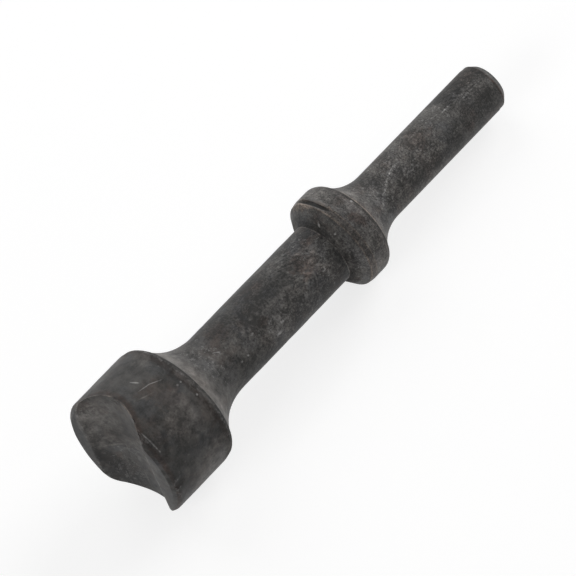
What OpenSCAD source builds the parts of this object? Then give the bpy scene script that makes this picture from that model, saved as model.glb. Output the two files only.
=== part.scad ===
// Tie rod chisel bit for an air hammer: one forged and turned piece of steel.
// The axis lies along X. The struck face is at x = 0 and the working face is at the -X end.
// Diameters are full diameters, and lengths run along the axis, all in millimetres.

/* [Shank] */
// Diameter of the shank that slides in the hammer's barrel
shank_d = 10.2; // [9:0.1:12.5]
// Length of the shank from the struck face to the start of its fillet
shank_l = 32; // [20:0.5:60]
// How far the bevel of the struck face reaches in across the end
tail_bevel_in = 1.05; // [0.4:0.05:2.5]
// How far the bevel of the struck face reaches along the shank
tail_bevel_l = 1.25; // [0.4:0.05:4]

/* [Collar] */
// Diameter of the collar that the retainer holds
collar_d = 20; // [18:0.1:26]
// Width of the collar's straight rim
collar_rim_l = 2.7; // [1:0.1:10]
// Round of the collar's edge towards the shank
collar_round = 2.2; // [0.5:0.1:3]
// Degrees that this round turns through before the crease where the hollow fillet begins
collar_round_turn = 64; // [50:1:80]
// Hollow fillet from that crease down to the shank
shank_fillet = 9.75; // [5:0.05:14]
// Length of the cone that rises from the stem to the collar
collar_cone_l = 2.5; // [1:0.1:5]
// How far the shallow bevel of the collar's edge towards the head reaches in
collar_bevel_in = 0.2; // [0.1:0.05:1]
// Length of that bevel along the axis
collar_bevel_l = 1.2; // [0.2:0.1:2]

/* [Stem] */
// Diameter of the stem between the collar and the head
stem_d = 13; // [12.6:0.1:16]
// Length of the straight stem, from the collar's cone to the head's flare
stem_l = 29.6; // [10:0.1:120]

/* [Head] */
// Diameter of the head
head_d = 26.7; // [24:0.1:32]
// Length of the head's straight wall, from its shoulder to the bevel of the working face
head_wall_l = 12.65; // [6:0.05:30]
// Round of the head's shoulder
shoulder_round = 3.05; // [0.5:0.05:4]
// Degrees that this round turns through before the crease where the flare begins
shoulder_round_turn = 65.5; // [50:0.5:80]
// Hollow flare from that crease down to the stem
head_flare = 12.75; // [9:0.05:24]
// How far the bevel round the working face reaches in
rim_bevel_in = 1.25; // [0.4:0.05:2]
// How far that bevel reaches along the wall
rim_bevel_l = 0.8; // [0.4:0.05:2]
// Round where that bevel meets the wall
rim_round = 1.2; // [0.1:0.1:1.2]

/* [Working face] */
// Radius of the round groove across the working face
groove_r = 11.4; // [9:0.1:20]
// Depth of the groove below the two lands
groove_depth = 3.8; // [1.5:0.1:5]
// Round of the two edges between the groove and the lands
groove_edge_r = 0.8; // [0.4:0.1:2.5]

/* [Hidden] */
$fn = 128;
past = 1;
arc_steps = 24;
shank_r = shank_d / 2;
collar_r = collar_d / 2;
stem_r = stem_d / 2;
head_r = head_d / 2;
// Rise of each step from the shank or stem to the crease, and the fillet's or flare's slope there
collar_crease_h = collar_r - shank_r - collar_round * (1 - cos(collar_round_turn));
head_crease_h = head_r - stem_r - shoulder_round * (1 - cos(shoulder_round_turn));
fillet_slope = hollow_slope(collar_crease_h, shank_fillet);
flare_slope = hollow_slope(head_crease_h, head_flare);
// Distances from the struck face
collar_crease_z = shank_l + shank_fillet * sin(fillet_slope);
collar_rim_z = collar_crease_z + collar_round * sin(collar_round_turn);
collar_bevel_z = collar_rim_z + collar_rim_l;
collar_cone_z = collar_bevel_z + collar_bevel_l;
stem_z = collar_cone_z + collar_cone_l;
flare_z = stem_z + stem_l;
head_crease_z = flare_z + head_flare * sin(flare_slope);
shoulder_z = head_crease_z + shoulder_round * sin(shoulder_round_turn);
rim_z = shoulder_z + head_wall_l;
face_z = rim_z + rim_bevel_l;
// Turn of the outline from the wall into the rim's bevel, and where the round of that corner begins
rim_turn = atan2(rim_bevel_in, rim_bevel_l);
rim_round_z = rim_z - rim_round * tan(rim_turn / 2);
// Centres of the groove's circle and of the circles that round its two edges
groove_z = face_z - groove_depth + groove_r;
edge_z = face_z - groove_edge_r;
edge_y = sqrt(pow(groove_r + groove_edge_r, 2) - pow(groove_z - edge_z, 2));
// Slope of the groove's wall where the round of its edge takes over
wall_angle = atan2(edge_y, groove_z - edge_z);

// Points on an arc about a centre, from one angle to another
function arc(x, y, r, from, to) = [
    for (i = [0 : arc_steps])
        let (a = from + (to - from) * i / arc_steps)
            [x + r * cos(a), y + r * sin(a)]
];

// Slope of a hollow of this radius where it has risen this far; at 90 a flat ring carries on from it
function hollow_slope(rise, hollow_r) = acos(max(0, 1 - rise / hollow_r));

// Radius and distance of each corner of the shank, from the middle of the struck face
function shank_points() = [
    [0, 0],
    [shank_r - tail_bevel_in, 0],
    [shank_r, tail_bevel_l]
];

// Outline of the collar: the hollow fillet, the round edge, the straight rim, the bevel and the cone
function collar_points() = concat(
    arc(shank_r + shank_fillet, shank_l, shank_fillet, 180, 180 - fillet_slope),
    arc(collar_r - collar_round, collar_rim_z, collar_round, -collar_round_turn, 0),
    [
        [collar_r, collar_bevel_z],
        [collar_r - collar_bevel_in, collar_cone_z],
        [stem_r, stem_z]
    ]
);

// Outline of the head: the hollow flare, the round shoulder, the straight wall and the rim's rounded bevel
function head_points() = concat(
    arc(stem_r + head_flare, flare_z, head_flare, 180, 180 - flare_slope),
    arc(head_r - shoulder_round, shoulder_z, shoulder_round, -shoulder_round_turn, 0),
    arc(head_r - rim_round, rim_round_z, rim_round, 0, rim_turn),
    [
        [head_r - rim_bevel_in, face_z],
        [0, face_z]
    ]
);

// Everything that is turned about the axis; the stem runs straight from the collar's cone to the flare
module turned_blank() {
    rotate_extrude() polygon(concat(shank_points(), collar_points(), head_points()));
}

// Outline of what the groove takes away: its hollow, the rounds of both edges, and the space beyond the lands
module groove_outline() {
    polygon(concat(
        [[-edge_y, face_z + past]],
        arc(-edge_y, edge_z, groove_edge_r, 90, 90 - wall_angle),
        arc(0, groove_z, groove_r, 270 - wall_angle, 270 + wall_angle),
        arc(edge_y, edge_z, groove_edge_r, 90 + wall_angle, 90),
        [[edge_y, face_z + past]]
    ));
}

// The groove, straight across the working face
module groove() {
    rotate([90, 0, 90])
        linear_extrude(height = head_d + 2 * past, center = true) groove_outline();
}

// The whole bit, laid down so that its axis lies along X and the groove runs along Z
module forged_bit() {
    color("dimgray")
        rotate([0, -90, 0]) difference() {
            turned_blank();
            groove();
        }
}

forged_bit();
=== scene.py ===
import bpy
from math import radians, sin, cos, tan, acos, atan2, hypot, pi
from types import SimpleNamespace
from mathutils import Matrix, Vector


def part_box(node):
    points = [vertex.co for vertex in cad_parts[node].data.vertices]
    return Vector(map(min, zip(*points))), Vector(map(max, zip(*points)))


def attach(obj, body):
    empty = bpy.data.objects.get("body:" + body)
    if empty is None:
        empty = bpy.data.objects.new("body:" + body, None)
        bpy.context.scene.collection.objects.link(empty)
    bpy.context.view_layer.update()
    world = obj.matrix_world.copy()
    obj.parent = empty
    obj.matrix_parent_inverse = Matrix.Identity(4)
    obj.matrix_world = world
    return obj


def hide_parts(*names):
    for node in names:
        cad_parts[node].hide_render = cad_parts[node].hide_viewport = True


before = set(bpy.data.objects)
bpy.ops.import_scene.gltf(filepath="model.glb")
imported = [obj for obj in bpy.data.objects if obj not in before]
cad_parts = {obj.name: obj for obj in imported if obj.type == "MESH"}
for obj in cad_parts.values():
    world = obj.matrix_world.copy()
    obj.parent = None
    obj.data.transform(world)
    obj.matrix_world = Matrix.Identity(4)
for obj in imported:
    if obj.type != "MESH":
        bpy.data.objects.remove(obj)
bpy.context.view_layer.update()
mm = 0.001


# Node helpers

def newTree(kind, name, inputs, outputs):  # a socket is given by its default value, or by its type alone
    tree = bpy.data.node_groups.new(name, kind)
    for direction, sockets in (("INPUT", inputs), ("OUTPUT", outputs)):
        for label, given in sockets.items():
            onlyType = isinstance(given, str)
            socketType = given if onlyType else type(given).__name__.capitalize()
            socket = tree.interface.new_socket(label, in_out=direction, socket_type="NodeSocket" + socketType)
            if not onlyType:
                socket.default_value = given
    return tree, tree.nodes.new("NodeGroupInput").outputs, tree.nodes.new("NodeGroupOutput").inputs


def feed(tree, socket, value):  # a link or a plain value
    if isinstance(value, bpy.types.NodeSocket):
        tree.links.new(value, socket)
    else:
        socket.default_value = value


def addNode(tree, kind, values=None, **settings):
    node = tree.nodes.new(kind)
    for name, value in settings.items():
        setattr(node, name, value)
    for key, value in (values or {}).items():
        feed(tree, node.inputs[key], value)
    return node


def addGroup(tree, group, values):
    kind = "GeometryNodeGroup" if tree.bl_idname == "GeometryNodeTree" else "ShaderNodeGroup"
    return addNode(tree, kind, values, node_tree=group).outputs


def calculator(tree, kind="ShaderNodeMath"):  # calc("ADD", a, b) gives the answer's socket
    def calc(operation, *values):
        node = addNode(tree, kind, dict(enumerate(values)), operation=operation)
        return node.outputs["Value" if operation in ("DOT_PRODUCT", "DISTANCE") else 0]
    return calc


def apart(tree, vector):  # x, y and z
    return addNode(tree, "ShaderNodeSeparateXYZ", {0: vector}).outputs


def scaled(tree, vector, factor):
    return addNode(tree, "ShaderNodeVectorMath", {0: vector, "Scale": factor}, operation="SCALE").outputs[0]


def choose(tree, condition, otherwise, chosen):
    return addNode(tree, "ShaderNodeMix", {0: condition, 2: otherwise, 3: chosen}).outputs[0]


def blend(tree, share, first, second, mode="MIX"):  # colours
    node = addNode(tree, "ShaderNodeMix", {0: share, 6: first, 7: second}, data_type="RGBA", blend_type=mode)
    return node.outputs[2]


def stretch(tree, value, fromLow, fromHigh, toLow=0.0, toHigh=1.0):  # remaps a value with soft ends
    node = addNode(tree, "ShaderNodeMapRange", {0: value, 1: fromLow, 2: fromHigh, 3: toLow, 4: toHigh},
                   interpolation_type="SMOOTHSTEP")
    return node.outputs[0]


def stripe(tree, value, start, full, fullUntil, end):  # rises from start to full, holds, and falls to end
    rising, falling = stretch(tree, value, start, full), stretch(tree, value, end, fullUntil)
    return calculator(tree)("MULTIPLY", rising, falling)


def noise(tree, place, scale, detail, roughness, seed):  # scale counts per millimetre
    node = addNode(tree, "ShaderNodeTexNoise", {"Vector": place, "W": seed, "Scale": scale, "Detail": detail,
                                                "Roughness": roughness}, noise_dimensions="4D")
    return node.outputs[0]


def slanted(tree, forward, sideways, degrees):  # two distances, measured along and across a slanted line
    calc = calculator(tree)
    slant = calc("RADIANS", degrees)
    c, s = calc("COSINE", slant), calc("SINE", slant)
    ahead = calc("ADD", calc("MULTIPLY", forward, c), calc("MULTIPLY", sideways, s))
    beside = calc("SUBTRACT", calc("MULTIPLY", sideways, c), calc("MULTIPLY", forward, s))
    return ahead, beside


def addObject(name, data):
    placed = bpy.data.objects.new(name, data)
    bpy.context.scene.collection.objects.link(placed)
    return placed


# Groups that the tree of the bit and the materials share

def roundPlaceTree(kind):  # mm from the struck face, degrees round from the top and mm from the axis
    tree, given, out = newTree(kind, "roundPlace", {"Place": "Vector"},
                               {"Along": "Float", "Around": "Float", "Radius": "Float"})
    calc = calculator(tree)
    x, y, z = apart(tree, given["Place"])
    feed(tree, out["Along"], calc("MULTIPLY", x, -1.0))
    feed(tree, out["Around"], calc("DEGREES", calc("ARCTAN2", calc("MULTIPLY", y, -1.0), z)))
    feed(tree, out["Radius"], calc("SQRT", calc("ADD", calc("MULTIPLY", y, y), calc("MULTIPLY", z, z))))
    return tree


def patchTree(kind):  # an oval mark on the surface, from a scratch to a stain or a patch of painted light or shade
    tree, given, out = newTree(kind, "patch", {
        "Along": 0.0, "Around": 0.0, "Radius": 10.0, "At": 0.0, "Degrees": 0.0, "Length": 1.0, "Width": 1.0,
        "Slant": 0.0, "Noise": 0.5, "Ragged": 0.5, "Least Radius": 0.0}, {"Mask": "Float"})
    calc = calculator(tree)
    forward = calc("SUBTRACT", given["Along"], given["At"])
    turn = calc("RADIANS", calc("SUBTRACT", given["Around"], given["Degrees"]))
    ahead, beside = slanted(tree, forward, calc("MULTIPLY", turn, given["Radius"]), given["Slant"])
    u, v = calc("DIVIDE", ahead, given["Length"]), calc("DIVIDE", beside, given["Width"])
    reach = calc("MULTIPLY", calc("SQRT", calc("ADD", calc("MULTIPLY", u, u), calc("MULTIPLY", v, v))), 2.0)
    rough = calc("MULTIPLY", calc("SUBTRACT", given["Noise"], 0.5), calc("MULTIPLY", given["Ragged"], 4.0))
    inside = stretch(tree, calc("ADD", reach, rough), 1.2, 0.6)  # the oval's edge is at 1
    outward = calc("GREATER_THAN", given["Radius"], given["Least Radius"])
    feed(tree, out["Mask"], calc("MULTIPLY", inside, outward))
    return tree


def oval(at, degrees, length, width, slant=0.0, ragged=0.25):  # what the patch group needs to know of a mark
    return {"At": at, "Degrees": degrees, "Length": length, "Width": width, "Slant": slant, "Ragged": ragged}


# The bit itself, in millimetres from the struck face

low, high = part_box("forged_bit")
bit = dict(
    length=-low.x / mm,
    headR=high.z / mm,
    headWall=12.65,
    shoulderRound=3.05,
    shoulderTurn=65.5,  # degrees before the crease
    headFlare=12.75,
    stemR=6.5,
    stemLength=29.6,
    coneLength=2.5,
    collarR=10.0,
    collarRim=2.7,
    collarBevelIn=0.2,
    collarBevelLength=1.2,
    collarRound=2.2,
    collarTurn=64.0,
    shankFillet=9.75,
    shankR=5.1,
    shankLength=32.0,
    tailBevelIn=1.05,
    tailBevelLength=1.25,
    rimBevelIn=1.25,
    rimBevelLength=0.8,
    rimRound=1.2,
    grooveR=11.4,
    grooveDepth=3.8,
    grooveEdge=0.8,
    wallInset=1.0,  # the wall's rings close up from this far past the shoulder
    segments=240,
    rimMarksFrom=99.0,  # marks from here on keep to the wall and its bevel,
    rimMarksDepth=1.3,  # which lie this far in at most
    dents=dict(  # depth, and the oval that it fills
        collarNotch=(0.6, oval(44.7, -10, 8.6, 1.1, 91, 0.05)),
        coneFoot=(0.3, oval(47.5, -82, 1.6, 9, ragged=0.05)),
        rimDent=(0.22, oval(102.5, 91, 3.2, 1.5, 30, 0.5)),
        bevelNick=(0.14, oval(102.2, 45, 4.6, 0.7, 92, 0.5)),
        upperChip=(0.2, oval(100.4, -1, 1.2, 0.9, 60, 0.4)),
        middleChip=(0.2, oval(101.9, 25, 1.1, 0.8, 60, 0.4)),
        lowerChip=(0.2, oval(103.3, 37, 1.3, 0.9, 60, 0.4)),
        shankPit=(0.12, oval(24.9, 47, 1.2, 0.9, ragged=0.2)),
    ),
    skin=dict(  # how the surface departs from the turned outline; what goes inward is above zero
        seed=3.0,
        waves=0.16, wavesPerMm=0.16,
        grain=0.05, grainPerMm=0.9,
        chips=0.15, chipsPerMm=0.75, chipNoise=(0.54, 0.7), chippedEdges=(0.04, 0.12),
        turnedShare=0.3, turnedFade=2.0,  # the turned part keeps this share of the unevenness
        headInset=0.05,
        slimInset=-0.05, slimRadius=(4.7, 5.0, 12.6, 13.2), slimFrom=2.0, slimTo=95.0,  # stem, collar, shank
        shoulderInset=-0.14, shoulderPlace=(83.0, 87.0, 91.0, 92.0), shoulderOuter=(13.25, 12.9),
        blurSteps=6,
        softness=0.12,  # where the groove meets the face and the wall
        weld=0.002,
    ),
)


def hollowSlope(height, roundR, turn, hollowR):  # slope of the hollow where it reaches the crease
    rise = height - roundR * (1 - cos(turn))
    return acos(max(0.0, 1.0 - rise / hollowR))


def stations():  # distances worked out from the lengths, and the slopes of the two hollows
    b = SimpleNamespace(**bit)
    collarTurn, headTurn = radians(b.collarTurn), radians(b.shoulderTurn)
    flareSlope = hollowSlope(b.headR - b.stemR, b.shoulderRound, headTurn, b.headFlare)
    rim = b.length - b.rimBevelLength
    shoulder = rim - b.headWall
    headCrease = shoulder - b.shoulderRound * sin(headTurn)
    flare = headCrease - b.headFlare * sin(flareSlope)
    stem = flare - b.stemLength
    coneTop = stem - b.coneLength
    collarBevel = coneTop - b.collarBevelLength
    collarRear = collarBevel - b.collarRim
    return dict(
        filletSlope=hollowSlope(b.collarR - b.shankR, b.collarRound, collarTurn, b.shankFillet),
        flareSlope=flareSlope,
        rim=rim,
        wallEnd=rim - b.rimRound * tan(atan2(b.rimBevelIn, b.rimBevelLength) / 2),
        shoulder=shoulder,
        headCrease=headCrease,
        flare=flare,
        stem=stem,
        coneTop=coneTop,
        collarBevel=collarBevel,
        collarRear=collarRear,
        collarCrease=collarRear - b.collarRound * sin(collarTurn),
    )


bit.update(stations())
skin = bit["skin"]


def outlineCorners():
    b = SimpleNamespace(**bit)
    collarRoundStart = b.collarRound * tan(radians(b.collarTurn) / 2)
    shoulderRoundStart = b.shoulderRound * tan(radians(b.shoulderTurn) / 2)
    return [  # distance, radius, corner's round, steps in the round, ring spacing after it
        (0.0, 0.0, 0.0, 1, 0.6),
        (0.0, b.shankR - b.tailBevelIn, 0.3, 4, 0.35),
        (b.tailBevelLength, b.shankR, 0.5, 4, 0.55),
        (b.shankLength + b.shankFillet * tan(b.filletSlope / 2), b.shankR, b.shankFillet, 24, 0.3),
        (b.collarCrease, b.shankR + b.shankFillet * (1 - cos(b.filletSlope)), 0.0, 1, 0.3),
        (b.collarRear - collarRoundStart, b.collarR, b.collarRound, 9, 0.3),
        (b.collarBevel, b.collarR, 0.3, 2, 0.17),
        (b.coneTop, b.collarR - b.collarBevelIn, 0.15, 3, 0.28),
        (b.stem, b.stemR, 0.12, 3, 0.45),
        (b.flare + b.headFlare * tan(b.flareSlope / 2), b.stemR, b.headFlare, 34, 0.35),
        (b.headCrease, b.stemR + b.headFlare * (1 - cos(b.flareSlope)), 0.0, 1, 0.3),
        (b.shoulder - shoulderRoundStart, b.headR, b.shoulderRound, 12, 0.32),
        (b.rim, b.headR, b.rimRound, 6, 0.25),
        (b.length, b.headR - b.rimBevelIn, 0.4, 4, 0.2),
        (b.length, 0.0, 0.0, 1, 0.4),
    ]


def outlineMesh():
    corners = outlineCorners()
    mesh = bpy.data.meshes.new("bitOutline")
    places = [(distance, radius, 0.0) for distance, radius, *rest in corners]
    mesh.from_pydata(places, [(i, i + 1) for i in range(len(corners) - 1)], [])
    for name, kind, column in (("round", "FLOAT", 2), ("roundSteps", "INT", 3), ("spacing", "FLOAT", 4)):
        attribute = mesh.attributes.new(name, kind, "POINT")
        for i, corner in enumerate(corners):
            attribute.data[i].value = corner[column]
    return mesh


def leastRadius(shape):  # keeps a mark at the rim off the groove behind it
    return bit["headR"] - bit["rimMarksDepth"] if shape["At"] > bit["rimMarksFrom"] else 0.0


def field(tree, name):  # Index, Position or Normal
    return addNode(tree, "GeometryNodeInput" + name).outputs[0]


def storeField(tree, geometry, name, value):
    return addNode(tree, "GeometryNodeStoreNamedAttribute", {
        "Geometry": geometry, "Name": name, "Value": value}, data_type="FLOAT", domain="POINT").outputs[0]


def outlineRings(tree, outline):  # the outline with its corners rounded and its straights divided into rings
    calc, vector = calculator(tree), calculator(tree, "ShaderNodeVectorMath")

    def stored(name, kind="FLOAT"):
        return addNode(tree, "GeometryNodeInputNamedAttribute", {"Name": name}, data_type=kind).outputs[0]

    curve = addNode(tree, "GeometryNodeMeshToCurve", {0: outline}).outputs[0]
    rounded = addNode(tree, "GeometryNodeFilletCurve", {
        "Curve": curve, "Count": stored("roundSteps", "INT"), "Radius": stored("round")},
        mode="POLY").outputs[0]
    position = field(tree, "Position")
    following = addNode(tree, "GeometryNodeFieldAtIndex", {
        "Index": calc("ADD", field(tree, "Index"), 1.0), "Value": position},
        data_type="FLOAT_VECTOR", domain="POINT").outputs[0]
    cuts = calc("FLOOR", calc("DIVIDE", vector("DISTANCE", following, position), stored("spacing")))
    return addNode(tree, "GeometryNodeSubdivideCurve", {"Curve": rounded, "Cuts": cuts}).outputs[0]


def turnedGrid(tree, rings, segments):  # a grid of rings by segments, and where its points lie when turned
    calc = calculator(tree)
    ringCount = addNode(tree, "GeometryNodeAttributeDomainSize", {0: rings}, component="CURVE").outputs[0]
    columns = calc("ADD", segments, 1.0)
    grid = addNode(tree, "GeometryNodeMeshGrid", {"Vertices X": ringCount, "Vertices Y": columns}).outputs[0]
    index = field(tree, "Index")
    ring = calc("FLOOR", calc("DIVIDE", calc("ADD", index, 0.5), columns))
    segment = calc("SUBTRACT", index, calc("MULTIPLY", ring, columns))
    angle = calc("MULTIPLY", calc("DIVIDE", segment, segments), 2 * pi)
    onOutline = addNode(tree, "GeometryNodeSampleIndex", {
        "Geometry": rings, "Value": field(tree, "Position"), "Index": ring},
        data_type="FLOAT_VECTOR", domain="POINT").outputs[0]
    distance, radius = apart(tree, onOutline)[:2]
    across = calc("MULTIPLY", radius, calc("SINE", angle))
    up = calc("MULTIPLY", radius, calc("MULTIPLY", calc("COSINE", angle), -1.0))  # the seam lies underneath
    return grid, distance, across, up


def grooveHeightTree():  # distance of the groove and its rounded edges from the struck face
    tree, given, out = newTree("GeometryNodeTree", "grooveHeight", {
        "Across": 0.0, "Face": 104.0, "Radius": 11.4, "Depth": 3.8, "Edge": 0.8}, {"Height": "Float"})
    calc = calculator(tree)
    across = calc("ABSOLUTE", given["Across"])
    centre = calc("ADD", calc("SUBTRACT", given["Face"], given["Depth"]), given["Radius"])
    edgeCentre = calc("SUBTRACT", given["Face"], given["Edge"])
    reach = calc("ADD", given["Radius"], given["Edge"])
    rise = calc("SUBTRACT", centre, edgeCentre)
    edgeAcross = calc("SQRT", calc("SUBTRACT", calc("MULTIPLY", reach, reach), calc("MULTIPLY", rise, rise)))
    hollowEnd = calc("MULTIPLY", edgeAcross, calc("DIVIDE", given["Radius"], reach))

    def circleHeight(radius, offset):
        inside = calc("SUBTRACT", calc("MULTIPLY", radius, radius), calc("MULTIPLY", offset, offset))
        return calc("SQRT", calc("MAXIMUM", inside, 0.0))

    hollow = calc("SUBTRACT", centre, circleHeight(given["Radius"], across))
    edge = calc("ADD", edgeCentre, circleHeight(given["Edge"], calc("SUBTRACT", across, edgeAcross)))
    beside = choose(tree, calc("LESS_THAN", across, edgeAcross), given["Face"], edge)
    feed(tree, out["Height"], choose(tree, calc("LESS_THAN", across, hollowEnd), beside, hollow))
    return tree


def groovedBlank(tree, given, grid, distance, across, up):
    # the groove lowers the face, and the wall's rings close up to follow its rim
    calc = calculator(tree)
    wallStart, wallEnd = given["Wall Start"], given["Wall End"]
    cut = addGroup(tree, grooveHeightTree(), {
        "Across": across, "Face": given["Face"], "Radius": given["Groove Radius"],
        "Depth": given["Groove Depth"], "Edge": given["Groove Edge"]})[0]
    faceDistance = calc("SMOOTH_MIN", distance, cut, skin["softness"])
    wallTop = calc("SMOOTH_MIN", wallEnd, cut, skin["softness"])
    wallShare = calc("DIVIDE", calc("SUBTRACT", distance, wallStart), calc("SUBTRACT", wallEnd, wallStart))
    lowered = calc("MULTIPLY", calc("MAXIMUM", wallShare, 0.0), calc("SUBTRACT", wallEnd, wallTop))
    wallDistance = calc("SUBTRACT", distance, lowered)
    shaped = choose(tree, calc("GREATER_THAN", distance, wallEnd), wallDistance, faceDistance)
    place = addNode(tree, "ShaderNodeCombineXYZ", {0: calc("MULTIPLY", shaped, -1.0), 1: across, 2: up})
    marked = storeField(tree, grid, "rimGap", calc("SUBTRACT", cut, shaped))
    wrapped = addNode(tree, "GeometryNodeSetPosition", {"Geometry": marked, "Position": place.outputs[0]})
    return addNode(tree, "GeometryNodeMergeByDistance", {
        "Geometry": wrapped.outputs[0], "Distance": skin["weld"]}).outputs[0]


def skinDip(tree, given, standsOut):  # how far each point goes inward
    calc = calculator(tree)
    position = field(tree, "Position")
    where = addGroup(tree, roundPlaceTree("GeometryNodeTree"), {"Place": position})
    along, radius = where["Along"], where["Radius"]

    # the forging isn't quite even: it dips, less where it was turned, and its edges are chipped
    evenness = stretch(tree, calc("SUBTRACT", along, given["Turned End"]),
                       0.0, skin["turnedFade"], skin["turnedShare"], 1.0)
    broad = noise(tree, position, skin["wavesPerMm"], 2.0, 0.5, given["Seed"])
    fine = noise(tree, position, skin["grainPerMm"], 3.0, 0.6, given["Seed"])
    broken = noise(tree, position, skin["chipsPerMm"], 3.0, 0.6, given["Seed"])
    chipped = calc("MULTIPLY", stretch(tree, broken, *skin["chipNoise"]),
                   stretch(tree, standsOut, *skin["chippedEdges"]))
    uneven = calc("ADD", calc("MULTIPLY", calc("SUBTRACT", broad, 0.5), given["Waves"]),
                  calc("MULTIPLY", calc("SUBTRACT", fine, 0.5), given["Grain"]))
    dip = calc("MULTIPLY", calc("ADD", uneven, calc("MULTIPLY", chipped, given["Chips"])), evenness)

    # the slim parts and the shoulder stand a little proud
    between = calc("MULTIPLY", calc("LESS_THAN", along, skin["slimTo"]),
                   calc("GREATER_THAN", along, skin["slimFrom"]))
    slim = calc("MULTIPLY", stripe(tree, radius, *skin["slimRadius"]), between)
    dip = calc("ADD", dip, stretch(tree, slim, 0.0, 1.0, given["Head Inset"], given["Slim Inset"]))
    shoulder = calc("MULTIPLY", stripe(tree, along, *skin["shoulderPlace"]),
                    stretch(tree, radius, *skin["shoulderOuter"]))
    dip = calc("ADD", dip, calc("MULTIPLY", shoulder, given["Shoulder Inset"]))

    patch = patchTree("GeometryNodeTree")
    for depth, shape in bit["dents"].values():
        mask = addGroup(tree, patch, {
            "Along": along, "Around": where["Around"], "Radius": radius, "Noise": fine,
            "Least Radius": leastRadius(shape), **shape})[0]
        dip = calc("ADD", dip, calc("MULTIPLY", mask, depth))
    return dip


def turnedBitTree():
    tree, given, out = newTree("GeometryNodeTree", "forgedBit", {
        "Outline": "Geometry", "Segments": 240, "Face": 104.0, "Wall Start": 91.5, "Wall End": 102.5,
        "Groove Radius": 11.4, "Groove Depth": 3.8, "Groove Edge": 0.8, "Turned End": 48.0,
        "Waves": skin["waves"], "Grain": skin["grain"], "Chips": skin["chips"],
        "Head Inset": skin["headInset"], "Slim Inset": skin["slimInset"],
        "Shoulder Inset": skin["shoulderInset"], "Seed": skin["seed"],
        "Forged": "Material", "Turned": "Material"}, {"Geometry": "Geometry"})
    calc, vector = calculator(tree), calculator(tree, "ShaderNodeVectorMath")
    rings = outlineRings(tree, given["Outline"])
    blank = groovedBlank(tree, given, *turnedGrid(tree, rings, given["Segments"]))

    # how far a point stands out of its blurred surroundings: edges are above zero, creases below
    position, normal = field(tree, "Position"), field(tree, "Normal")
    blurred = addNode(tree, "GeometryNodeBlurAttribute", {"Value": position, "Iterations": skin["blurSteps"]},
                      data_type="FLOAT_VECTOR").outputs[0]
    standsOut = vector("DOT_PRODUCT", normal, vector("SUBTRACT", position, blurred))

    outward = calc("MULTIPLY", skinDip(tree, given, standsOut), -1.0)
    dented = addNode(tree, "GeometryNodeSetPosition", {
        "Geometry": blank, "Offset": scaled(tree, normal, outward)}).outputs[0]
    stored = storeField(tree, dented, "standsOut", standsOut)
    metres = addNode(tree, "GeometryNodeTransform", {"Geometry": stored, "Scale": (mm, mm, mm)}).outputs[0]
    smooth = addNode(tree, "GeometryNodeSetShadeSmooth", {"Geometry": metres}).outputs[0]
    real = addNode(tree, "GeometryNodeRealizeInstances", {0: smooth}).outputs[0]
    allForged = addNode(tree, "GeometryNodeSetMaterial", {"Geometry": real, "Material": given["Forged"]})
    isTurned = calc("GREATER_THAN", apart(tree, position)[0], calc("MULTIPLY", given["Turned End"], -mm))
    finished = addNode(tree, "GeometryNodeSetMaterial", {
        "Geometry": allForged.outputs[0], "Selection": isTurned, "Material": given["Turned"]})
    feed(tree, out["Geometry"], finished.outputs[0])
    return tree


def makeBit(forgedSteel, turnedSteel):
    maker = addObject("bitMaker", outlineMesh())
    tree = turnedBitTree()
    modifier = maker.modifiers.new("forgedBit", "NODES")
    modifier.node_group = tree
    values = {
        "Segments": bit["segments"], "Face": bit["length"], "Wall Start": bit["shoulder"] + bit["wallInset"],
        "Wall End": bit["wallEnd"], "Groove Radius": bit["grooveR"], "Groove Depth": bit["grooveDepth"],
        "Groove Edge": bit["grooveEdge"], "Turned End": bit["stem"],
        "Forged": forgedSteel, "Turned": turnedSteel}
    for item in tree.interface.items_tree:
        if item.in_out == "INPUT" and item.name in values:
            modifier[item.identifier] = values[item.name]
    evaluated = maker.evaluated_get(bpy.context.evaluated_depsgraph_get())
    piece = addObject("forgedBit", bpy.data.meshes.new_from_object(evaluated))
    bpy.data.objects.remove(maker)
    piece.data.name = "forgedBit"
    return piece


# Materials

def band(start, end, before, after):  # what the ring group needs: where it starts and ends, and its two fades
    return {"From": start, "To": end, "Fade Before": before, "Fade After": after}


shades = dict(  # linear colours of the finish; some of them also paint light and shade
    # a dark colour for dark marks, which also paints shade in creases, in the collar's notch and in the
    # groove
    darkAndPaintedShade=(0.013, 0.0125, 0.012, 1.0),
    iron=(0.0575, 0.0555, 0.0525, 1.0),
    brown=(0.062, 0.0495, 0.0435, 1.0),
    rust=(0.036, 0.021, 0.016, 1.0),
    blue=(0.053, 0.0545, 0.0575, 1.0),
    # pale dust, which also paints light on the groove's far wall and top and on the cone's lower side
    dustAndPaintedLight=(0.208, 0.194, 0.181, 1.0),
    # a sand colour, which also paints highlights on the collar's bevel and edges, its crease and the groove's
    # rim
    sandAndPaintedHighlight=(0.24, 0.19, 0.155, 1.0),
    # bare metal for worn spots and scratches, which also paints the glints on the shank's fillet
    bareAndPaintedGlint=(0.46, 0.45, 0.44, 1.0),
)

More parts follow.
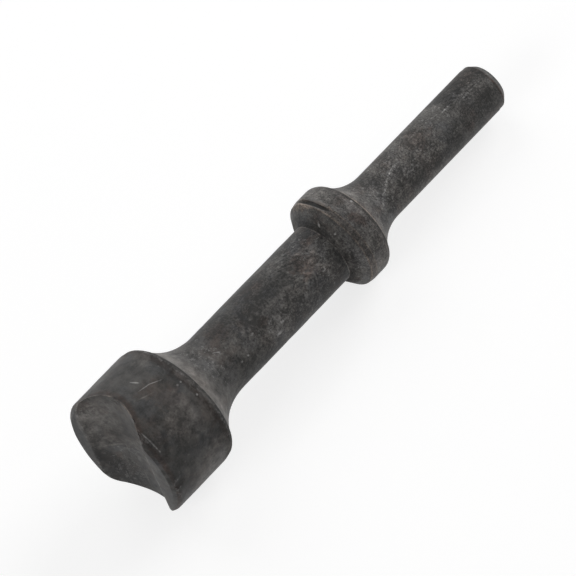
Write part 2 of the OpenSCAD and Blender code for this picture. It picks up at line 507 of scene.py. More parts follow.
finish = dict(  # what both steels share
    roughness=0.55, roughnessSpread=0.1, paintedShadeRoughness=0.3,
    specular=0.25, sheen=0.04, sheenRoughness=0.5,
    grainDepth=0.06,
    toneContrast=1.7, darkestTone=0.35,
    patchEdge=(0.47, 0.64),  # levels of the noise over which a brown or bluish patch sets in
    speckEdge=(0.6, 0.72),
    strokeEdge=(0.56, 0.72),
    paintedShadeOnTop=0.5, paintedShadeTurn=30.0,  # share of a painted shade ring on the upper side, where more light falls, and degrees over which it changes
    brokenEdge=(0.3, 0.6), brokenShare=0.35,  # other rings are broken up, and this is left of them there
    wallDepth=0.6,  # the groove's rim is edged on the wall alone; its stripes are in mm from the rim
    # the rim's pale line is partly wear and partly painted highlight
    rimStripes=(("rust", 0.7, (0.3, 0.5, 0.9, 1.7)), ("sandAndPaintedHighlight", 0.5, (0.0, 0.06, 0.2, 0.34))),
    linesPerMm=2.1, lineLength=1.4,  # of the lined patches
    wornEdges=0.35,
    scratchWays=(62.0, -35.0, 12.0),
    scratchPatches=(0.48, 0.62),
    speckDensity=dict(specks=0.08, faceSpecks=0.11),
    grooveGap=0.05,  # what lies this near the groove's height belongs to the face
)

# In a ring: its shade, its share and the band. In a mark: its shade, its share and the oval, as in the dents.
# On the face, an oval's first two values are mm up and mm across. A lined patch has its way in degrees first,
# then its strength. Levels along the bit are pairs of a distance and a value.

forged = dict(
    seed=1.0, grainPerMm=2.3, brown=0.75, blue=0.7, fleckShare=0.45, hatchShare=0.2,
    turnedLinesPerMm=1.2, turnedLineShade=0.06, turnedLineDepth=0.0,
    blotch=((50.0, 2.6), (60.0, 2.2), (80.0, 2.2), (88.0, 1.7)),
    speckle=((48.0, 4.9), (56.0, 4.6), (66.0, 3.3), (76.0, 3.0), (80.0, 1.5), (88.0, 1.1)),
    coarse=((80.0, 1.0), (88.0, 0.45)),  # the head is smoother than the rest
    rings=dict(
        flareDust=("dustAndPaintedLight", 0.17, band(80, 87, 3.5, 0.5)),
        creaseBand=("dustAndPaintedLight", 0.5, band(86.3, 87.55, 2.6, 0.1)),
        shoulderBrown=("rust", 0.55, band(88, 89.4, 0.1, 1.2)),
        # painted shade: a strong line in the crease under the shoulder, and a fainter band over the shoulder
        # itself
        shadeUnderShoulder=("darkAndPaintedShade", 0.95, band(87.75, 88.5, 0.1, 0.8)),
        shoulderShade=("darkAndPaintedShade", 0.35, band(87.8, 89.8, 0.1, 1.5)),
        stemLine=("dustAndPaintedLight", 0.5, band(47.95, 48.15, 0.1, 0.1)),
    ),
    marks=dict(
        shortScratch=("bareAndPaintedGlint", 0.4, oval(95.4, 3.5, 1.9, 0.3, 117)),
        arcScratch=("bareAndPaintedGlint", 0.45, oval(95.2, 13, 2.5, 0.22, 167)),
        arcScratchEnd=("bareAndPaintedGlint", 0.45, oval(93.1, 16.5, 2.8, 0.22, 151)),
        faintArc=("dustAndPaintedLight", 0.4, oval(96.4, 19, 3.2, 0.35, 160)),
        wallSpeckA=("bareAndPaintedGlint", 0.45, oval(91, 31, 0.45, 0.45)),
        wallSpeckB=("bareAndPaintedGlint", 0.4, oval(90.1, 31, 0.4, 0.4)),
        wallSpeckC=("bareAndPaintedGlint", 0.5, oval(89.7, 47, 0.5, 0.5)),
        rimScuff=("bareAndPaintedGlint", 0.4, oval(102.3, 45, 5, 0.35, 91, 0.6)),
        upperChip=("bareAndPaintedGlint", 0.5, oval(100.4, -1, 0.9, 0.5, 60)),
        middleChip=("bareAndPaintedGlint", 0.45, oval(101.9, 25, 0.9, 0.5, 60)),
        lowerChip=("bareAndPaintedGlint", 0.4, oval(103.3, 37, 0.9, 0.5, 60)),
        brownSide=("brown", 0.45, oval(94, 33, 9, 5, 100, 0.9)),
        paleTop=("dustAndPaintedLight", 0.16, oval(97, -38, 12, 5, ragged=0.8)),
        darkLow=("darkAndPaintedShade", 0.3, oval(97.5, 80, 7, 5, ragged=0.7)),
        paleMiddle=("dustAndPaintedLight", 0.24, oval(93.5, 56, 11, 9, ragged=0.8)),
        paleLow=("dustAndPaintedLight", 0.2, oval(95.5, 98, 14, 8, ragged=0.8)),
        rimDark=("darkAndPaintedShade", 0.3, oval(99.9, 20, 3, 4, ragged=0.6)),
        palePatch=("dustAndPaintedLight", 0.36, oval(95, 52, 7.5, 6, ragged=0.4)),
        creaseDark=("darkAndPaintedShade", 0.3, oval(90.4, 57, 3.2, 9, ragged=0.5)),
        cornerLow=("dustAndPaintedLight", 0.42, oval(92.4, 109, 9, 10, ragged=0.35)),
        cornerTop=("dustAndPaintedLight", 0.3, oval(90.6, -10, 3.4, 5, ragged=0.5)),
        cornerSide=("dustAndPaintedLight", 0.2, oval(88.9, 29, 1.8, 5, ragged=0.5)),
        stemPaleWide=("dustAndPaintedLight", 0.2, oval(68.5, 63, 23, 9, ragged=0.7)),
        stemPaleLow=("dustAndPaintedLight", 0.13, oval(58, 88, 17, 9, ragged=0.8)),
        paleEnd=("dustAndPaintedLight", 0.2, oval(94.5, 112, 14, 4, ragged=0.8)),
        stemBrownA=("brown", 0.8, oval(68.2, 49, 2.6, 1.8, ragged=0.8)),
        stemBrownB=("brown", 0.9, oval(54.7, 30, 5, 5, 40, 0.9)),
        stemBrownC=("rust", 0.6, oval(50.6, 8, 2.4, 2.6, ragged=0.9)),
        stemDark=("darkAndPaintedShade", 0.5, oval(58, 22, 13, 3.2, ragged=0.8)),
        stemDarkLow=("darkAndPaintedShade", 0.3, oval(75.5, 78, 8, 3.5, 10, 0.7)),
        stemDarkEnd=("darkAndPaintedShade", 0.2, oval(58.5, 70, 8, 2.4, ragged=0.7)),
        stemPaleEnd=("dustAndPaintedLight", 0.16, oval(51.8, 46, 5, 8, ragged=0.9)),
        stemBlue=("dustAndPaintedLight", 0.12, oval(66, 66, 7, 4.5, 30, 0.8)),
        stemSpeckA=("bareAndPaintedGlint", 0.45, oval(76.4, 70, 0.6, 0.45)),
        stemSpeckB=("bareAndPaintedGlint", 0.5, oval(74.7, 70, 0.5, 0.45)),
        stemSpeckC=("bareAndPaintedGlint", 0.4, oval(65.3, 72, 0.9, 0.7, ragged=0.4)),
        stemSpeckD=("bareAndPaintedGlint", 0.45, oval(66.9, 84, 1.4, 0.6, ragged=0.5)),
        stemSpeckE=("bareAndPaintedGlint", 0.35, oval(71.5, 50, 0.8, 0.5, ragged=0.6)),
        stemSpeckF=("bareAndPaintedGlint", 0.4, oval(52.6, 61, 0.9, 0.5, ragged=0.6)),
        stemScratch=("bareAndPaintedGlint", 0.45, oval(78.8, 29.5, 1.5, 0.25, 144)),
    ),
    faceMarks=dict(
        grooveScratch=("dustAndPaintedLight", 0.5, oval(-1, 4.65, 5, 0.5, 103)),
        grooveCrease=("dustAndPaintedLight", 0.4, oval(-10, 1, 6, 0.3)),
        grooveSpot=("dustAndPaintedLight", 0.4, oval(7.5, 8.1, 2.2, 1.6, ragged=0.6)),
        # the next mark is painted shadow deep in the groove
        grooveShadow=("darkAndPaintedShade", 0.85, oval(-4.4, 7.1, 9, 3.4, 28, 0.35)),
        landDark=("darkAndPaintedShade", 0.75, oval(0, 10.5, 30, 5, ragged=0.3)),
        grooveLow=("darkAndPaintedShade", 0.72, oval(-9, 5, 9, 7, ragged=0.6)),
        # the next mark is painted light on the groove's far wall, which the lamps leave in shade
        grooveFarLight=("dustAndPaintedLight", 0.36, oval(3.5, 6.6, 12, 5, ragged=0.5)),
        grooveEdge=("dustAndPaintedLight", 0.42, oval(4.4, 8.1, 9, 3, ragged=0.3)),
        grooveNear=("dustAndPaintedLight", 0.5, oval(0.9, 7.8, 3.8, 2.8, ragged=0.3)),
        grooveMiddle=("darkAndPaintedShade", 0.38, oval(-2.5, 1.2, 11, 4.6, ragged=0.5)),
        grooveFoot=("darkAndPaintedShade", 0.36, oval(-9.3, 1.3, 6, 3.6, ragged=0.5)),
        grooveCrown=("dustAndPaintedLight", 0.22, oval(10.6, 3.4, 5, 7, ragged=0.5)),
        # the next mark is painted light over the groove's upper part
        grooveTopLight=("dustAndPaintedLight", 0.15, oval(8, -1, 22, 18, ragged=0.5)),
    ),
    specks=dict(  # where pale specks lie closer together
        stemEnd=oval(51.5, 35, 7, 14, ragged=0.9),
        stemMiddle=oval(66.5, 68, 9, 5, ragged=0.9),
        flareSide=oval(82, 25, 9, 12, ragged=0.9),
    ),
    faceSpecks=dict(
        grooveLow=oval(-8, 4.4, 10, 8, ragged=0.9),
        grooveHigh=oval(8, 7.5, 4, 3, ragged=0.9),
        grooveMiddle=oval(-2.5, 1.5, 6, 4, ragged=0.9),
    ),
    lined=dict(
        stemEnd=(-28.0, 5.0, oval(54, 18, 13, 11, ragged=0.8)),
        stemMiddle=(50.0, 2.0, oval(70, 38, 8, 8, ragged=0.8)),
    ),
)

turned = dict(
    seed=4.0, grainPerMm=3.1, brown=0.9, blue=0.6, fleckShare=0.5, hatchShare=0.3,
    turnedLinesPerMm=3.2, turnedLineShade=0.2, turnedLineDepth=0.012,
    blotch=((0.0, 2.2),),
    speckle=((15.0, 3.8), (20.0, 4.2), (45.0, 4.0)),
    coarse=((0.0, 1.0),),
    rings=dict(
        filletDust=("dustAndPaintedLight", 0.08, band(31, 37, 3, 1)),
        filletBand=("dustAndPaintedLight", 0.3, band(38.3, 39.4, 1.8, 0.1)),
        # a painted highlight along the crease behind the collar
        creaseHighlight=("sandAndPaintedHighlight", 0.6, band(39.25, 39.5, 0.15, 0.1)),
        collarBrown=("rust", 0.4, band(39.8, 40.6, 0.1, 0.6)),
        # painted shade where the collar's rear round meets its crease
        shadeUnderCollar=("darkAndPaintedShade", 0.9, band(39.6, 40.3, 0.1, 0.5)),
        rimPale=("dustAndPaintedLight", 0.24, band(40.6, 44, 0.8, 0.2)),
        shankPale=("dustAndPaintedLight", 0.05, band(3, 31, 2, 2)),
        shankFore=("dustAndPaintedLight", 0.22, band(19, 31, 4, 2)),
        # painted shade over the cone, and a painted dark line in the crease at its foot
        conePaintedShade=("darkAndPaintedShade", 0.1, band(46.9, 47.9, 0.5, 0.1)),
        coneFoot=("darkAndPaintedShade", 0.7, band(47.5, 47.95, 0.2, 0.1)),
        # painted highlights: a band over the bevel and thin lines along its two edges
        bevelHighlight=("sandAndPaintedHighlight", 0.16, band(44.45, 45.35, 0.12, 0.1)),
        coneEdgeHighlight=("sandAndPaintedHighlight", 0.55, band(45.42, 45.56, 0.1, 0.1)),
        rimEdgeHighlight=("sandAndPaintedHighlight", 0.42, band(44.22, 44.36, 0.1, 0.1)),
        tailLine=("rust", 0.8, band(1.1, 1.5, 0.2, 0.2)),
    ),
    marks=dict(
        # painted shadow in the notch, a painted highlight along its edge, and a painted highlight on the
        # bevel's upper side
        notchShadow=("darkAndPaintedShade", 1.0, oval(44.75, -10, 9, 1.3, 91, 0.1)),
        notchEdgeHighlight=("sandAndPaintedHighlight", 0.7, oval(44.1, 2, 5, 0.4, 91)),
        collarHighlight=("sandAndPaintedHighlight", 0.45, oval(45.6, -30, 8, 1.2, 90, 0.6)),
        collarBlue=("dustAndPaintedLight", 0.15, oval(42.5, -15, 3, 9, ragged=0.7)),
        rimSide=("dustAndPaintedLight", 0.14, oval(42.8, 82, 4.5, 14, ragged=0.6)),
        collarSpeck=("bareAndPaintedGlint", 0.5, oval(40.4, 24, 0.6, 0.5)),
        # painted light on the cone's lower side, where the stem shades it
        conePaintedLight=("dustAndPaintedLight", 0.22, oval(46.7, 72, 3.4, 15, ragged=0.6)),
        coneSpeckA=("bareAndPaintedGlint", 0.35, oval(47.1, 9, 1, 0.3, 60, 0.5)),
        coneSpeckB=("bareAndPaintedGlint", 0.45, oval(46.8, 35, 0.5, 0.4)),
        coneSpeckC=("bareAndPaintedGlint", 0.4, oval(46.6, 95, 0.7, 0.4)),
        collarDark=("rust", 0.6, oval(42.3, 43, 2.2, 4.2, 30, 0.7)),
        # the glints are painted highlights in the bare metal colour
        glintA=("bareAndPaintedGlint", 0.42, oval(32.9, 46, 4.8, 0.6, 33, 1.5)),
        glintB=("bareAndPaintedGlint", 0.4, oval(28.7, 24, 2.2, 0.5, 15, 0.9)),
        glintC=("bareAndPaintedGlint", 0.4, oval(30.8, -22, 0.9, 0.6, ragged=0.6)),
        shankPit=("bareAndPaintedGlint", 0.5, oval(24.9, 47, 0.6, 0.5)),
        shankBrown=("brown", 0.7, oval(20.5, 12, 6, 4.6, ragged=0.9)),
        shankStreak=("dustAndPaintedLight", 0.35, oval(19.7, 3, 6.2, 0.5, ragged=0.7)),
        shankScuff=("dustAndPaintedLight", 0.3, oval(13.2, -20, 4.6, 1.5, 125, 0.9)),
        shankEnd=("darkAndPaintedShade", 0.42, oval(4.8, -18, 16, 4.6, 152, 0.4)),
        shankStreakB=("bareAndPaintedGlint", 0.4, oval(11.8, 15, 2.8, 0.4, ragged=0.6)),
        shankStreakC=("bareAndPaintedGlint", 0.35, oval(6.5, 26, 8.6, 0.35, ragged=0.7)),
        filletFore=("dustAndPaintedLight", 0.13, oval(33, 46, 5, 9, ragged=0.6)),
        shankPaleLow=("dustAndPaintedLight", 0.14, oval(29.2, 58, 6, 3.4, ragged=0.6)),
        shankPaleTop=("dustAndPaintedLight", 0.13, oval(22.3, 7, 5.5, 3.4, ragged=0.6)),
        shankPaleEnd=("dustAndPaintedLight", 0.2, oval(6.6, 31, 11, 4, ragged=0.4)),
        shankDark=("darkAndPaintedShade", 0.22, oval(14.1, 25, 5, 4.4, ragged=0.5)),
        shankEndTop=("darkAndPaintedShade", 0.3, oval(5.6, -40, 11, 2.8, ragged=0.4)),
        shankEndLow=("darkAndPaintedShade", 0.18, oval(6.4, 95, 10, 2.4, ragged=0.4)),
        shankLow=("darkAndPaintedShade", 0.4, oval(21, 80, 20, 2.2, ragged=0.8)),
        shankBlue=("dustAndPaintedLight", 0.14, oval(22, 67, 8, 2.4, ragged=0.9)),
    ),
    faceMarks=dict(),
    specks=dict(
        filletArc=oval(33.5, 38, 5, 9, 35, 0.9),
        filletArcB=oval(30.5, 20, 10, 5, 20, 0.9),
        shankMiddle=oval(14.5, 8, 7, 6, 150, 0.9),
        shankSide=oval(22.5, 50, 8, 3, ragged=0.9),
    ),
    faceSpecks=dict(),
    lined=dict(
        shankEnd=(-28.0, 7.0, oval(6.5, 0, 12, 6, ragged=0.8)),
        shankSide=(46.0, 3.0, oval(25, 35, 17, 10, ragged=0.8)),
        fillet=(-42.0, 3.0, oval(35.5, 14, 6, 14, ragged=0.8)),
    ),
)


def mottleTree():  # the uneven oxide: its tone, where it is brown or bluish, and its grain
    tree, given, out = newTree("ShaderNodeTree", "mottle", {
        "Place": "Vector", "Blotch": 0.6, "Speckle": 1.0, "Grain Per mm": 2.3, "Seed": 1.0},
        {"Tone": "Float", "Brown": "Float", "Blue": "Float", "Grain": "Float"})
    calc = calculator(tree)

    def seeded(scale, detail, roughness, shift):
        return noise(tree, given["Place"], scale, detail, roughness, calc("ADD", given["Seed"], shift))

    wide, spots = seeded(0.13, 2.0, 0.5, 0.0), seeded(0.55, 3.0, 0.6, 10.0)
    grain = seeded(given["Grain Per mm"], 4.0, 0.75, 20.0)
    blotches = calc("MULTIPLY", calc("SUBTRACT", calc("ADD", wide, spots), 1.0), finish["toneContrast"])
    tone = calc("ADD", calc("MULTIPLY", blotches, given["Blotch"]),
                calc("MULTIPLY", calc("SUBTRACT", grain, 0.5), calc("MULTIPLY", given["Speckle"], 2.0)))
    feed(tree, out["Tone"], calc("MAXIMUM", calc("ADD", tone, 1.0), finish["darkestTone"]))
    feed(tree, out["Brown"], stretch(tree, seeded(0.2, 5.0, 0.65, 30.0), *finish["patchEdge"]))
    feed(tree, out["Blue"], stretch(tree, seeded(0.24, 5.0, 0.65, 40.0), *finish["patchEdge"]))
    feed(tree, out["Grain"], grain)
    return tree


def flecksTree():  # pale specks, closer together where the density is higher
    tree, given, out = newTree("ShaderNodeTree", "flecks", {"Place": "Vector", "Density": 0.0, "Seed": 1.0},
                               {"Mask": "Float"})
    calc = calculator(tree)
    spots = noise(tree, given["Place"], 1.5, 4.0, 0.85, calc("ADD", given["Seed"], 50.0))
    feed(tree, out["Mask"], stretch(tree, calc("ADD", spots, given["Density"]), *finish["speckEdge"]))
    return tree


def stretchedNoise(tree, first, second, detail, roughness, seed):  # a noise drawn out along strokes or lines
    place = addNode(tree, "ShaderNodeCombineXYZ", {0: first, 1: second}).outputs[0]
    return noise(tree, place, 1.0, detail, roughness, seed)


def hatchTree():  # fine scratches that all run one way
    tree, given, out = newTree("ShaderNodeTree", "hatch", {
        "Along": 0.0, "Around": 0.0, "Radius": 10.0, "Slant": 30.0, "Per mm": 3.0, "Length": 3.0,
        "Seed": 1.0}, {"Mask": "Float", "Strokes": "Float"})
    calc = calculator(tree)
    sideways = calc("MULTIPLY", calc("RADIANS", given["Around"]), given["Radius"])
    ahead, beside = slanted(tree, given["Along"], sideways, given["Slant"])
    strokes = stretchedNoise(tree, calc("DIVIDE", ahead, given["Length"]),
                             calc("MULTIPLY", beside, given["Per mm"]), 2.0, 0.6, given["Seed"])
    feed(tree, out["Mask"], stretch(tree, strokes, *finish["strokeEdge"]))
    feed(tree, out["Strokes"], calc("SUBTRACT", strokes, 0.5))
    return tree


def toolLinesTree():  # fine lines left by turning, which change little on their way round
    tree, given, out = newTree("ShaderNodeTree", "toolLines", {
        "Along": 0.0, "Around": 0.0, "Per mm": 3.0, "Per Degree": 0.05, "Seed": 0.0}, {"Lines": "Float"})
    calc = calculator(tree)
    lines = stretchedNoise(tree, calc("MULTIPLY", given["Along"], given["Per mm"]),
                           calc("MULTIPLY", given["Around"], given["Per Degree"]), 3.0, 0.7, given["Seed"])
    feed(tree, out["Lines"], stretch(tree, lines, 0.35, 0.65))
    return tree


def ringTree():  # a band round the bit
    tree, given, out = newTree("ShaderNodeTree", "ring", {
        "Along": 0.0, "From": 0.0, "To": 1.0, "Fade Before": 0.1, "Fade After": 0.1}, {"Mask": "Float"})
    calc = calculator(tree)
    start = calc("SUBTRACT", given["From"], given["Fade Before"])
    end = calc("ADD", given["To"], given["Fade After"])
    feed(tree, out["Mask"], stripe(tree, given["Along"], start, given["From"], given["To"], end))
    return tree


def edgeWearTree():
    tree, given, out = newTree("ShaderNodeTree", "edgeWear", {
        "Stands Out": 0.0, "Noise": 0.5, "Unevenness": 0.25, "Start": 0.05, "Full": 0.13}, {"Mask": "Float"})
    calc = calculator(tree)
    uneven = calc("MULTIPLY", calc("SUBTRACT", given["Noise"], 0.5), given["Unevenness"])
    proud = calc("ADD", given["Stands Out"], uneven)
    feed(tree, out["Mask"], stretch(tree, proud, given["Start"], given["Full"]))
    return tree


def materialGroups():
    return dict(
        roundPlace=roundPlaceTree("ShaderNodeTree"), patch=patchTree("ShaderNodeTree"), mottle=mottleTree(),
        toolLines=toolLinesTree(), ring=ringTree(), edgeWear=edgeWearTree(), flecks=flecksTree(),
        hatch=hatchTree())


def attributeOf(tree, name):
    return addNode(tree, "ShaderNodeAttribute", attribute_name=name).outputs["Fac"]


def alongBit(tree, along, levels):  # changes smoothly from one place along the bit to the next
    (near, value), *further = levels
    level = value
    for far, following in further:
        change = stretch(tree, along, near, far, 0.0, following - level)
        value = calculator(tree)("ADD", value, change)
        near, level = far, following
    return value


def steelPlaces(tree, groups, look):  # what all the layers of one steel are placed by
    calc = calculator(tree)
    coordinates = addNode(tree, "ShaderNodeTexCoord").outputs["Object"]
    place = scaled(tree, coordinates, 1 / mm)
    where = addGroup(tree, groups["roundPlace"], {"Place": place})
    onSide = {name: where[name] for name in ("Along", "Around", "Radius")}
    across, up = apart(tree, place)[1:3]
    onFace = {"Along": up, "Around": across, "Radius": 180 / pi}  # a degree then stands for a millimetre
    rimGap = attributeOf(tree, "rimGap")  # mm from the wall up to the groove's rim
    ragged = noise(tree, place, 1.1, 4.0, 0.65, look["seed"])
    return SimpleNamespace(
        tree=tree, groups=groups, look=look, calc=calc, place=place, onSide=onSide, onFace=onFace,
        rimGap=rimGap, isGroove=calc("LESS_THAN", rimGap, finish["grooveGap"]), ragged=ragged,
        broken=stretch(tree, ragged, *finish["brokenEdge"], finish["brokenShare"], 1.0),
        coarse=alongBit(tree, onSide["Along"], look["coarse"]))


def ovalMask(steel, shape, onFace=False):
    where = steel.onFace if onFace else {**steel.onSide, "Least Radius": leastRadius(shape)}
    mask = addGroup(steel.tree, steel.groups["patch"], {"Noise": steel.ragged, **where, **shape})[0]
    return steel.calc("MULTIPLY", mask, steel.isGroove) if onFace else mask


def lay(steel, colour, mask, shade, share):  # covers a share of the colour with one of the shades
    return blend(steel.tree, steel.calc("MULTIPLY", mask, share), colour, shades[shade])


def layRings(steel, colour):
    calc = steel.calc
    # rings in the dark colour are painted shade, thinner on the upper side where more light falls
    lessShadeOnTop = stretch(steel.tree, steel.onSide["Around"], -finish["paintedShadeTurn"], finish["paintedShadeTurn"],
                      finish["paintedShadeOnTop"], 1.0)
    paintedShadeRings = 0.0
    for shade, share, edges in steel.look["rings"].values():
        mask = addGroup(steel.tree, steel.groups["ring"], {"Along": steel.onSide["Along"], **edges})[0]
        if shade == "darkAndPaintedShade":
            mask = calc("MULTIPLY", mask, lessShadeOnTop)
            paintedShadeRings = calc("MAXIMUM", mask, paintedShadeRings)
        else:
            mask = calc("MULTIPLY", mask, steel.broken)
        colour = lay(steel, colour, mask, shade, share)
    return colour, paintedShadeRings


def layMarks(steel, colour):
    for kind in ("marks", "faceMarks"):
        for shade, share, shape in steel.look[kind].values():
            colour = lay(steel, colour, ovalMask(steel, shape, kind == "faceMarks"), shade, share)
    return colour


def layRim(steel, colour):  # a brown edge along the groove's rim, and a pale line there that is partly wear and partly painted highlight
    calc = steel.calc
    isWall = calc("GREATER_THAN", steel.onSide["Radius"], bit["headR"] - finish["wallDepth"])
    onWall = calc("MULTIPLY", steel.broken, isWall)
    for shade, share, edges in finish["rimStripes"]:
        mask = calc("MULTIPLY", onWall, stripe(steel.tree, steel.rimGap, *edges))
        colour = lay(steel, colour, mask, shade, share)
    return colour


def shadeTones(steel, colour, tone, lines):  # the mottled tone, the turning lines and the lined patches
    calc, tree, look = steel.calc, steel.tree, steel.look
    lineShade = look["turnedLineShade"]
    tone = calc("MULTIPLY", tone, stretch(tree, lines, 0.0, 1.0, 1.0 - lineShade, 1.0 + lineShade))
    for way, strength, shape in look["lined"].values():
        mask = ovalMask(steel, shape)
        strokes = addGroup(tree, steel.groups["hatch"], {
            **steel.onSide, "Slant": way, "Per mm": finish["linesPerMm"], "Length": finish["lineLength"],
            "Seed": look["seed"]})["Strokes"]
        lined = calc("MULTIPLY", calc("MULTIPLY", mask, strokes), strength)
        tone = calc("MULTIPLY", tone, calc("ADD", lined, 1.0))
    grey = addNode(tree, "ShaderNodeCombineColor", {0: tone, 1: tone, 2: tone}).outputs[0]
    return blend(tree, 1.0, colour, grey, "MULTIPLY")


def layWear(steel, colour):
    worn = addGroup(steel.tree, steel.groups["edgeWear"], {
        "Stands Out": attributeOf(steel.tree, "standsOut"), "Noise": steel.ragged})[0]
    return lay(steel, colour, worn, "bareAndPaintedGlint", finish["wornEdges"])


def layScratches(steel, colour):
    calc, tree = steel.calc, steel.tree
    for way in finish["scratchWays"]:
        seed = steel.look["seed"] + way
        scratches = addGroup(tree, steel.groups["hatch"], {**steel.onSide, "Slant": way, "Seed": seed})[0]
        patches = stretch(tree, noise(tree, steel.place, 0.3, 3.0, 0.6, seed), *finish["scratchPatches"])
        mask = calc("MULTIPLY", scratches, calc("MULTIPLY", patches, steel.coarse))
        colour = lay(steel, colour, mask, "dustAndPaintedLight", steel.look["hatchShare"])
    return colour


def layFlecks(steel, colour):
    calc = steel.calc
    density = 0.0
    for kind, most in finish["speckDensity"].items():
        for shape in steel.look[kind].values():
            mask = ovalMask(steel, shape, kind == "faceSpecks")
            density = calc("MAXIMUM", density, calc("MULTIPLY", mask, most))
    flecks = addGroup(steel.tree, steel.groups["flecks"], {
        "Place": steel.place, "Density": density, "Seed": steel.look["seed"]})[0]
    return lay(steel, colour, calc("MULTIPLY", flecks, steel.coarse), "bareAndPaintedGlint", steel.look["fleckShare"])


def steelMaterial(name, groups, look):
    material = bpy.data.materials.new(name)
    material.use_nodes = True
    tree = material.node_tree
    steel = steelPlaces(tree, groups, look)
    calc, along = steel.calc, steel.onSide["Along"]
    mottle = addGroup(tree, groups["mottle"], {
        "Place": steel.place, "Blotch": alongBit(tree, along, look["blotch"]),
        "Speckle": alongBit(tree, along, look["speckle"]), "Grain Per mm": look["grainPerMm"],
        "Seed": look["seed"]})
    lines = addGroup(tree, groups["toolLines"], {
        "Along": along, "Around": steel.onSide["Around"], "Per mm": look["turnedLinesPerMm"],
        "Seed": look["seed"]})[0]

    colour = lay(steel, shades["iron"], mottle["Brown"], "brown", look["brown"])
    colour = lay(steel, colour, mottle["Blue"], "blue", look["blue"])
    colour, paintedShadeRings = layRings(steel, colour)
    colour = layMarks(steel, colour)
    if look["faceMarks"]:
        colour = layRim(steel, colour)
    colour = shadeTones(steel, colour, mottle["Tone"], lines)
    for layer in (layWear, layScratches, layFlecks):
        colour = layer(steel, colour)

    shader = tree.nodes["Principled BSDF"].inputs
    feed(tree, shader["Base Color"], colour)
    middle, spread = finish["roughness"], finish["roughnessSpread"]
    roughness = stretch(tree, mottle["Grain"], 0.3, 0.7, middle - spread, middle + spread)
    # the rings of painted shade are also rougher
    feed(tree, shader["Roughness"], calc("ADD", roughness, calc("MULTIPLY", paintedShadeRings, finish["paintedShadeRoughness"])))
    shader["Specular IOR Level"].default_value = finish["specular"]
    shader["Sheen Weight"].default_value = finish["sheen"]
    shader["Sheen Roughness"].default_value = finish["sheenRoughness"]
    grainHeight = calc("MULTIPLY", calc("MULTIPLY", mottle["Grain"], steel.coarse), finish["grainDepth"])
    height = calc("ADD", grainHeight, calc("MULTIPLY", lines, look["turnedLineDepth"]))
    bump = addNode(tree, "ShaderNodeBump", {"Height": height, "Distance": mm, "Strength": 1.0})
    feed(tree, shader["Normal"], bump.outputs[0])
    return material


# Floor, lights and camera

studio = dict(
    floorSize=3.0,
    floorWhite=0.85,
    floorShown=0.35,  # how much of the floor that the camera sees is lit, and how much glows
    floorGlow=0.79,
    skyStrength=1.0,
    lamps=dict(
        key=dict(spot=(0.2, 0.8, 0.75), size=0.9, power=3.5),
        side=dict(spot=(1.0, -0.15, 0.6), size=0.9, power=9.0),
        front=dict(spot=(-1.0, -0.1, 0.45), size=0.6, power=3.5),
    ),
    photoSize=576,
    photoCentre=(288.63, 288.61),  # pixel of the photograph that the camera's aim falls on
    photoScale=5.467,  # pixels to a millimetre there
    aim=-0.0576,  # along the axis
    distance=1.005,
    tilt=21.75,  # how far the axis leans towards the camera
    turn=41.0,  # how far the bit is rolled about its axis, against the groove
    imageAngle=45.97,  # of the axis in the picture
    sensor=36.0,
    clip=(0.1, 10.0),
)


def photoDirections():
    lean, roll, slant = (radians(studio[k]) for k in ("tilt", "turn", "imageAngle"))
    upper = Vector((0, -sin(roll), cos(roll)))  # square to the axis, on the camera's side
    across = Vector((0, -cos(roll), -sin(roll)))  # square to the axis, in the picture
    towards = Vector((-sin(lean), 0, 0)) + cos(lean) * upper
    axis = Vector((cos(lean), 0, 0)) + sin(lean) * upper
    right = cos(slant) * axis + sin(slant) * across
    up = sin(slant) * axis - cos(slant) * across
    return right, up, towards


def makeCamera():
    right, up, towards = photoDirections()
    data = bpy.data.cameras.new("photoCamera")
    camera = addObject("photoCamera", data)
    pixel = mm / studio["photoScale"]
    fromMiddle = [(c - studio["photoSize"] / 2) * pixel for c in studio["photoCentre"]]
    spot = Vector((studio["aim"], 0, 0)) + studio["distance"] * towards
    spot += fromMiddle[1] * up - fromMiddle[0] * right
    turnTo = Matrix((right, up, towards)).transposed().to_4x4()
    camera.matrix_world = Matrix.Translation(spot) @ turnTo
    data.sensor_width = studio["sensor"]
    data.lens = studio["photoScale"] * studio["sensor"] / studio["photoSize"] * studio["distance"] / mm
    data.clip_start, data.clip_end = studio["clip"]
    bpy.context.scene.camera = camera


def whiteToCamera(tree, plain, white):  # camera and mirror rays see white, and the rest sees the plain shader
    calc = calculator(tree)
    path = addNode(tree, "ShaderNodeLightPath").outputs
    seen = calc("MINIMUM", calc("ADD", calc("ADD", path["Is Camera Ray"], path["Is Glossy Ray"]),
                                path["Is Transmission Ray"]), 1.0)
    return addNode(tree, "ShaderNodeMixShader", {0: seen, 1: plain, 2: white}).outputs[0]


def restingPlane():  # the floor touches the head's shoulder and the collar's corner underneath
    away = bit["shoulder"] - bit["collarBevel"]
    below = bit["headR"] - bit["shoulderRound"] - bit["collarR"]
    slope = atan2(below, away) + atan2(bit["shoulderRound"], hypot(away, below))
    return Vector((-bit["collarBevel"] * mm, 0, -bit["collarR"] * mm)), slope


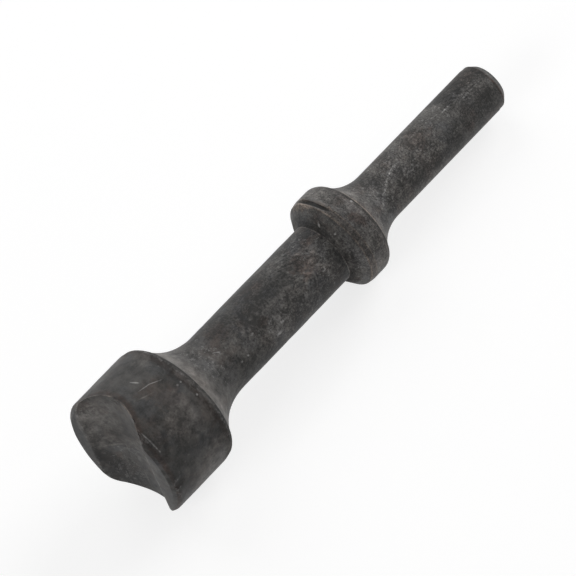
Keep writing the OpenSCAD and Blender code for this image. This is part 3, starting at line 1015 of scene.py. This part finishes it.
def makeFloor():
    half = studio["floorSize"] / 2
    corners = [(-half, -half, 0), (half, -half, 0), (half, half, 0), (-half, half, 0)]
    mesh = bpy.data.meshes.new("floor")
    mesh.from_pydata(corners, [], [(0, 1, 2, 3)])
    floor = addObject("floor", mesh)
    touching, slope = restingPlane()
    floor.location = touching
    floor.rotation_euler = (0, -slope, 0)
    material = bpy.data.materials.new("paleFloor")
    material.use_nodes = True
    tree = material.node_tree
    tree.nodes.remove(tree.nodes["Principled BSDF"])
    matt, shown = (addNode(tree, "ShaderNodeBsdfDiffuse", {"Color": (studio[grey],) * 3 + (1.0,)})
                   for grey in ("floorWhite", "floorShown"))
    glow = addNode(tree, "ShaderNodeEmission", {"Strength": studio["floorGlow"]})
    lit = addNode(tree, "ShaderNodeAddShader", {0: shown.outputs[0], 1: glow.outputs[0]})
    surface = whiteToCamera(tree, matt.outputs[0], lit.outputs[0])
    feed(tree, tree.nodes["Material Output"].inputs["Surface"], surface)
    mesh.materials.append(material)


def makeLights():
    world = bpy.data.worlds.new("studio")
    bpy.context.scene.world = world
    world.use_nodes = True
    tree = world.node_tree
    plain = tree.nodes["Background"]
    plain.inputs["Strength"].default_value = studio["skyStrength"]
    white = addNode(tree, "ShaderNodeBackground", {"Strength": 1.0})
    surface = whiteToCamera(tree, plain.outputs[0], white.outputs[0])
    feed(tree, tree.nodes["World Output"].inputs["Surface"], surface)
    for name, light in studio["lamps"].items():
        data = bpy.data.lights.new(name, "AREA")
        data.size, data.energy = light["size"], light["power"]
        lamp = addObject(name, data)
        lamp.location = Vector((studio["aim"], 0, 0)) + Vector(light["spot"])
        lamp.rotation_euler = Vector(light["spot"]).to_track_quat("Z", "Y").to_euler()


bpy.context.scene.view_settings.view_transform = "Standard"
makeCamera()
makeFloor()
makeLights()
print("camera, floor and lights are set")

groups = materialGroups()
forgedSteel = steelMaterial("forgedSteel", groups, forged)
turnedSteel = steelMaterial("turnedSteel", groups, turned)
print("materials are made")

piece = makeBit(forgedSteel, turnedSteel)
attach(piece, "root")
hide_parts("forged_bit")
print("forged bit:", len(piece.data.vertices), "points,", len(piece.data.polygons), "faces")
